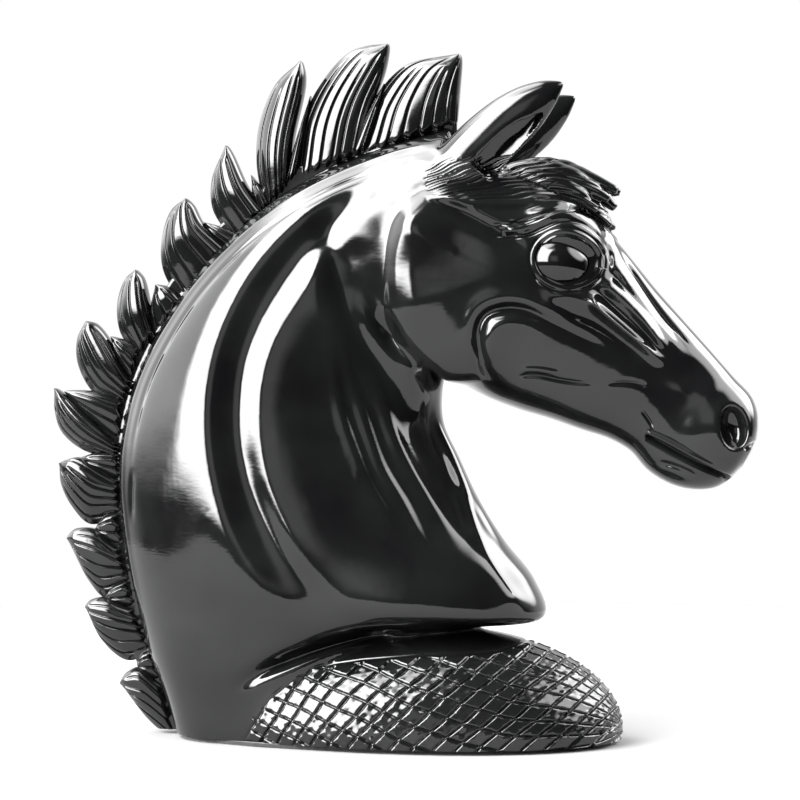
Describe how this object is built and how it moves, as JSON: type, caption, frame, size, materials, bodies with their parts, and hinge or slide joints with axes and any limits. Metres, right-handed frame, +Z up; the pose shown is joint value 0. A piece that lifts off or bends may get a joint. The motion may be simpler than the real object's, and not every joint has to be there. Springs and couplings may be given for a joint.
{
  "type": "carved stone horse head figurine",
  "caption": "Free-standing horse head and neck carved from one block of polished black stone, with domed inlaid eyes, a scale-cut mound as its base and felt underneath.",
  "frame": {"origin": "centre of the felt's underside, where the figurine rests on a surface", "axes": "+X towards the horse's muzzle, +Y towards its left side, +Z up"},
  "size_m": [0.2044, 0.067, 0.1983],
  "materials": {
    "jade": "mirror-polished black stone",
    "eye_stone": "mirror-polished black cabochon",
    "felt": "black pressed felt"
  },
  "bodies": {
    "root": {"carved_bust": "jade", "right_eye": "eye_stone", "left_eye": "eye_stone", "base_felt": "felt"}
  },
  "joints": []
}
